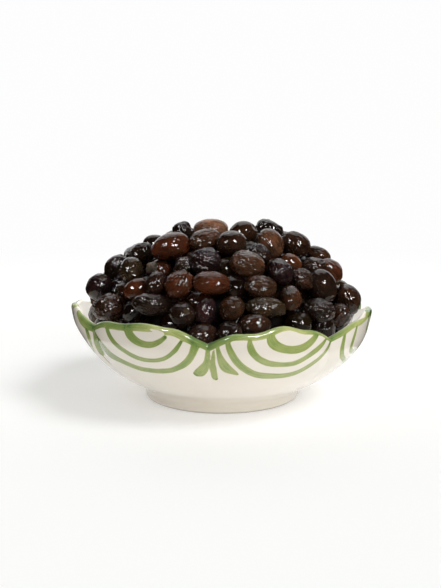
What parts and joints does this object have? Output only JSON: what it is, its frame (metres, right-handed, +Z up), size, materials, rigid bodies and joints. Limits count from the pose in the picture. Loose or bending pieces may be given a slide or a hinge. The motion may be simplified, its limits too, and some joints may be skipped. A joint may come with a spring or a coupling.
{
  "type": "dish of olives",
  "caption": "Scalloped white earthenware serving bowl with hand-painted green swags, heaped with small dry-cured black olives.",
  "frame": {"origin": "on the table, under the middle of the bowl's foot ring", "axes": "+Z up, -Y towards the front of the dish, +X to the right seen from the front"},
  "size_m": [0.1742, 0.1743, 0.104],
  "materials": {
    "white_glaze": "glossy creamy white glaze with hand-painted green strokes",
    "black_olive": "oily dark brown and black skins, finely wrinkled"
  },
  "bodies": {
    "root": {"bowl": "white_glaze", "olives": "black_olive"}
  },
  "joints": []
}
